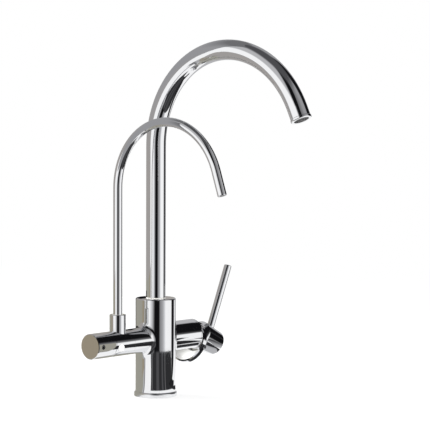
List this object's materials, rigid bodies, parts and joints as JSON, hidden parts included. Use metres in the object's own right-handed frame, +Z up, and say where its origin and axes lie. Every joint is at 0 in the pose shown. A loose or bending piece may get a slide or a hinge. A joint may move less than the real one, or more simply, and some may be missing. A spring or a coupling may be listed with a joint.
{
  "type": "three-way kitchen mixer tap",
  "caption": "Chrome deck-mounted kitchen mixer with a tall swivel gooseneck, a slim filtered-water gooseneck with its own turning knob, and a pin-lever mixing handle.",
  "frame": {"origin": "centre of the base on the deck, on the axis of the barrel and of the stud hole", "axes": "+Z up along the barrel, +X along the mixer arm, -X along the filter arm, -Y forward along both spouts"},
  "size_m": [0.2295, 0.244, 0.398],
  "materials": {
    "chrome": "polished",
    "brass": "machined",
    "rubber": "matt",
    "steel": "machined",
    "white_plastic": "moulded",
    "index_white": "glossy",
    "ceramic": "lapped"
  },
  "bodies": {
    "tap_body": {"main_body": "chrome", "base_ring": "chrome", "base_seal": "rubber", "inlet_block": "brass", "spout_lower_bush": "white_plastic", "spout_upper_bush": "white_plastic", "spout_lock_screw": "steel", "cartridge_base": "white_plastic", "cartridge_seals": "rubber", "cartridge_fixed_disc": "ceramic", "cartridge_housing": "white_plastic", "cartridge_nut": "brass", "arm_bezel": "chrome", "valve_housing": "chrome", "filter_headpart": "brass", "filter_fixed_disc": "ceramic", "filter_seat_seal": "rubber", "filter_collar": "chrome", "filter_gland": "white_plastic", "index_plug": "index_white"},
    "main_spout": {"main_spout_tube": "chrome", "main_spigot": "brass", "main_spigot_rings": "rubber", "aerator_housing": "chrome", "aerator_insert": "white_plastic", "aerator_seal": "rubber"},
    "filter_spout": {"filter_spout_tube": "chrome", "filter_spigot": "brass", "filter_spigot_rings": "rubber", "filter_nozzle": "brass"},
    "knob": {"filter_knob": "chrome", "knob_grub_screw": "steel", "filter_stem": "brass", "filter_moving_disc": "ceramic"},
    "temperature_carrier": {"cartridge_carrier": "white_plastic", "lever_pivot_pin": "steel"},
    "handle": {"cartridge_lever": "steel", "handle_skirt": "chrome", "handle_cap": "chrome", "handle_pin": "chrome", "handle_grub_screw": "steel"},
    "mixing_disc": {"cartridge_driver": "white_plastic", "cartridge_moving_disc": "ceramic"}
  },
  "joints": [
    {"name": "main_spout_swivel", "type": "hinge", "parent": "tap_body", "child": "main_spout", "pos_m": [0, 0, 0.11], "axis": [0, 0, 1], "continuous": true},
    {"name": "filter_spout_swivel", "type": "hinge", "parent": "tap_body", "child": "filter_spout", "pos_m": [-0.061, 0, 0.09], "axis": [0, 0, 1], "range_deg": [-150, 60]},
    {"name": "filter_knob_turn", "type": "hinge", "parent": "tap_body", "child": "knob", "pos_m": [-0.09, 0, 0.0645], "axis": [1, 0, 0], "range_deg": [0, 90]},
    {"name": "temperature_turn", "type": "hinge", "parent": "tap_body", "child": "temperature_carrier", "pos_m": [0.055, 0, 0.0645], "axis": [1, 0, 0], "range_deg": [-45, 45]},
    {"name": "flow_lift", "type": "hinge", "parent": "temperature_carrier", "child": "handle", "pos_m": [0.059, 0, 0.0645], "axis": [0, 1, 0], "range_deg": [-23.5, 4.5]},
    {"name": "disc_slide", "type": "slide", "parent": "temperature_carrier", "child": "mixing_disc", "axis": [0, 0, 1], "range_m": [-0.0035, 0.0007]}
  ],
  "couplings": [
    {"joint": "disc_slide", "follows": "flow_lift", "m_per_rad": 0.008264}
  ]
}
